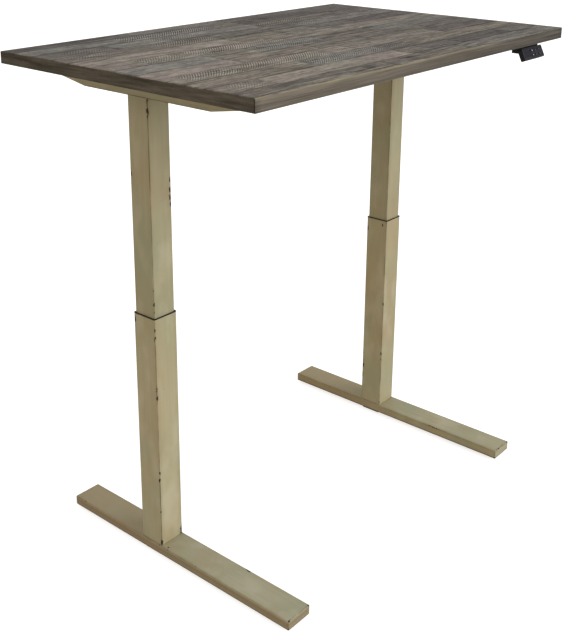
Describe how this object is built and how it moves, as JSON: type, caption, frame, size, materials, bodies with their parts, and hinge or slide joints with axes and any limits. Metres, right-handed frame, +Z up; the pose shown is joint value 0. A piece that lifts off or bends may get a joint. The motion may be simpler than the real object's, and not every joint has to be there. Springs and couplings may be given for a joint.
{
  "type": "standing desk",
  "caption": "Height-adjustable desk: a weathered plank top on telescopic square legs with bar feet, spindle drives and a tilted handset under the front edge.",
  "frame": {"origin": "on the floor under the middle of the top", "axes": "+X to the user's right, +Y away from the user, +Z up"},
  "size_m": [1.219, 0.762, 1.225],
  "materials": {
    "weathered_wood": "weathered, saw-marked planks with a dull finish",
    "cream_paint": "distressed cream paint, chipped along the edges",
    "black_plastic": "moulded, fine grain",
    "handset_face": "smooth black",
    "key_plastic": "soft black with pale marks",
    "display_glass": "smoked window",
    "circuit_board": "lacquered board",
    "black_metal": "black powder coat",
    "zinc_steel": "zinc plate",
    "cast_alloy": "as cast",
    "nut_plastic": "natural plastic",
    "pad_rubber": "moulded"
  },
  "bodies": {
    "left_base": {"left_foot": "cream_paint", "left_foot_caps": "cream_paint", "left_outer_column": "cream_paint", "left_collar": "black_plastic", "left_column_base": "zinc_steel", "left_drive_tube": "zinc_steel", "left_spindle_nut": "nut_plastic", "left_clamp_plate": "black_metal", "left_foot_bolts": "black_metal", "left_leveller_inserts": "zinc_steel"},
    "lifting_frame": {"desktop": "weathered_wood", "desktop_screws": "zinc_steel", "gearbox_screws": "zinc_steel", "front_crossbar": "cream_paint", "rear_crossbar": "cream_paint", "crossbar_bolts": "black_metal", "control_box_base": "black_metal", "control_box_cover": "black_plastic", "control_box_board": "circuit_board", "control_box_sockets": "black_plastic", "power_inlet": "black_plastic", "handset_housing": "black_plastic", "handset_faceplate": "handset_face", "handset_display": "display_glass", "handset_circuit_board": "circuit_board", "left_bracket": "cream_paint", "left_inner_column": "cream_paint", "left_lower_glide": "black_plastic", "left_gearbox": "cast_alloy", "left_motor": "black_metal", "left_spindle_bearing": "zinc_steel", "right_bracket": "cream_paint", "right_inner_column": "cream_paint", "right_lower_glide": "black_plastic", "right_gearbox": "cast_alloy", "right_motor": "black_metal", "right_spindle_bearing": "zinc_steel"},
    "right_base": {"right_foot": "cream_paint", "right_foot_caps": "cream_paint", "right_outer_column": "cream_paint", "right_collar": "black_plastic", "right_column_base": "zinc_steel", "right_drive_tube": "zinc_steel", "right_spindle_nut": "nut_plastic", "right_clamp_plate": "black_metal", "right_foot_bolts": "black_metal", "right_leveller_inserts": "zinc_steel"},
    "left_spindle": {"left_spindle": "zinc_steel"},
    "right_spindle": {"right_spindle": "zinc_steel"},
    "up_button": {"up_button": "key_plastic"},
    "down_button": {"down_button": "key_plastic"},
    "preset_one_button": {"preset_one_button": "key_plastic"},
    "preset_two_button": {"preset_two_button": "key_plastic"},
    "preset_three_button": {"preset_three_button": "key_plastic"},
    "preset_four_button": {"preset_four_button": "key_plastic"},
    "left_front_leveller": {"left_front_leveller": "pad_rubber"},
    "left_rear_leveller": {"left_rear_leveller": "pad_rubber"},
    "right_front_leveller": {"right_front_leveller": "pad_rubber"},
    "right_rear_leveller": {"right_rear_leveller": "pad_rubber"}
  },
  "joints": [
    {"name": "left_lift", "type": "slide", "parent": "left_base", "child": "lifting_frame", "axis": [0, 0, 1], "range_m": [-0.5, 0]},
    {"name": "right_lift", "type": "slide", "parent": "lifting_frame", "child": "right_base", "axis": [0, 0, 1], "range_m": [0, 0.5]},
    {"name": "left_spindle_turn", "type": "hinge", "parent": "lifting_frame", "child": "left_spindle", "pos_m": [-0.462, 0.062, 1.153], "axis": [0, 0, 1], "range_deg": [-9001, 1]},
    {"name": "right_spindle_turn", "type": "hinge", "parent": "lifting_frame", "child": "right_spindle", "pos_m": [0.462, 0.062, 1.153], "axis": [0, 0, 1], "range_deg": [-9001, 1]},
    {"name": "up_button_press", "type": "slide", "parent": "lifting_frame", "child": "up_button", "axis": [0, 0.9026, -0.4305], "range_m": [0, 0.0008], "stiffness_N_per_m": 1500},
    {"name": "down_button_press", "type": "slide", "parent": "lifting_frame", "child": "down_button", "axis": [0, 0.9026, -0.4305], "range_m": [0, 0.0008], "stiffness_N_per_m": 1500},
    {"name": "preset_one_button_press", "type": "slide", "parent": "lifting_frame", "child": "preset_one_button", "axis": [0, 0.9026, -0.4305], "range_m": [0, 0.0008], "stiffness_N_per_m": 1500},
    {"name": "preset_two_button_press", "type": "slide", "parent": "lifting_frame", "child": "preset_two_button", "axis": [0, 0.9026, -0.4305], "range_m": [0, 0.0008], "stiffness_N_per_m": 1500},
    {"name": "preset_three_button_press", "type": "slide", "parent": "lifting_frame", "child": "preset_three_button", "axis": [0, 0.9026, -0.4305], "range_m": [0, 0.0008], "stiffness_N_per_m": 1500},
    {"name": "preset_four_button_press", "type": "slide", "parent": "lifting_frame", "child": "preset_four_button", "axis": [0, 0.9026, -0.4305], "range_m": [0, 0.0008], "stiffness_N_per_m": 1500},
    {"name": "left_front_leveller_turn", "type": "hinge", "parent": "left_base", "child": "left_front_leveller", "pos_m": [-0.462, -0.338, 0.006], "axis": [0, 0, 1], "range_deg": [-1800, 0]},
    {"name": "left_rear_leveller_turn", "type": "hinge", "parent": "left_base", "child": "left_rear_leveller", "pos_m": [-0.462, 0.313, 0.006], "axis": [0, 0, 1], "range_deg": [-1800, 0]},
    {"name": "right_front_leveller_turn", "type": "hinge", "parent": "right_base", "child": "right_front_leveller", "pos_m": [0.462, -0.338, 0.006], "axis": [0, 0, 1], "range_deg": [-1800, 0]},
    {"name": "right_rear_leveller_turn", "type": "hinge", "parent": "right_base", "child": "right_rear_leveller", "pos_m": [0.462, 0.313, 0.006], "axis": [0, 0, 1], "range_deg": [-1800, 0]}
  ],
  "couplings": [
    {"joint": "right_lift", "follows": "left_lift", "ratio": -1},
    {"joint": "left_spindle_turn", "follows": "left_lift", "rad_per_m": 314.16},
    {"joint": "right_spindle_turn", "follows": "left_lift", "rad_per_m": 314.16}
  ]
}
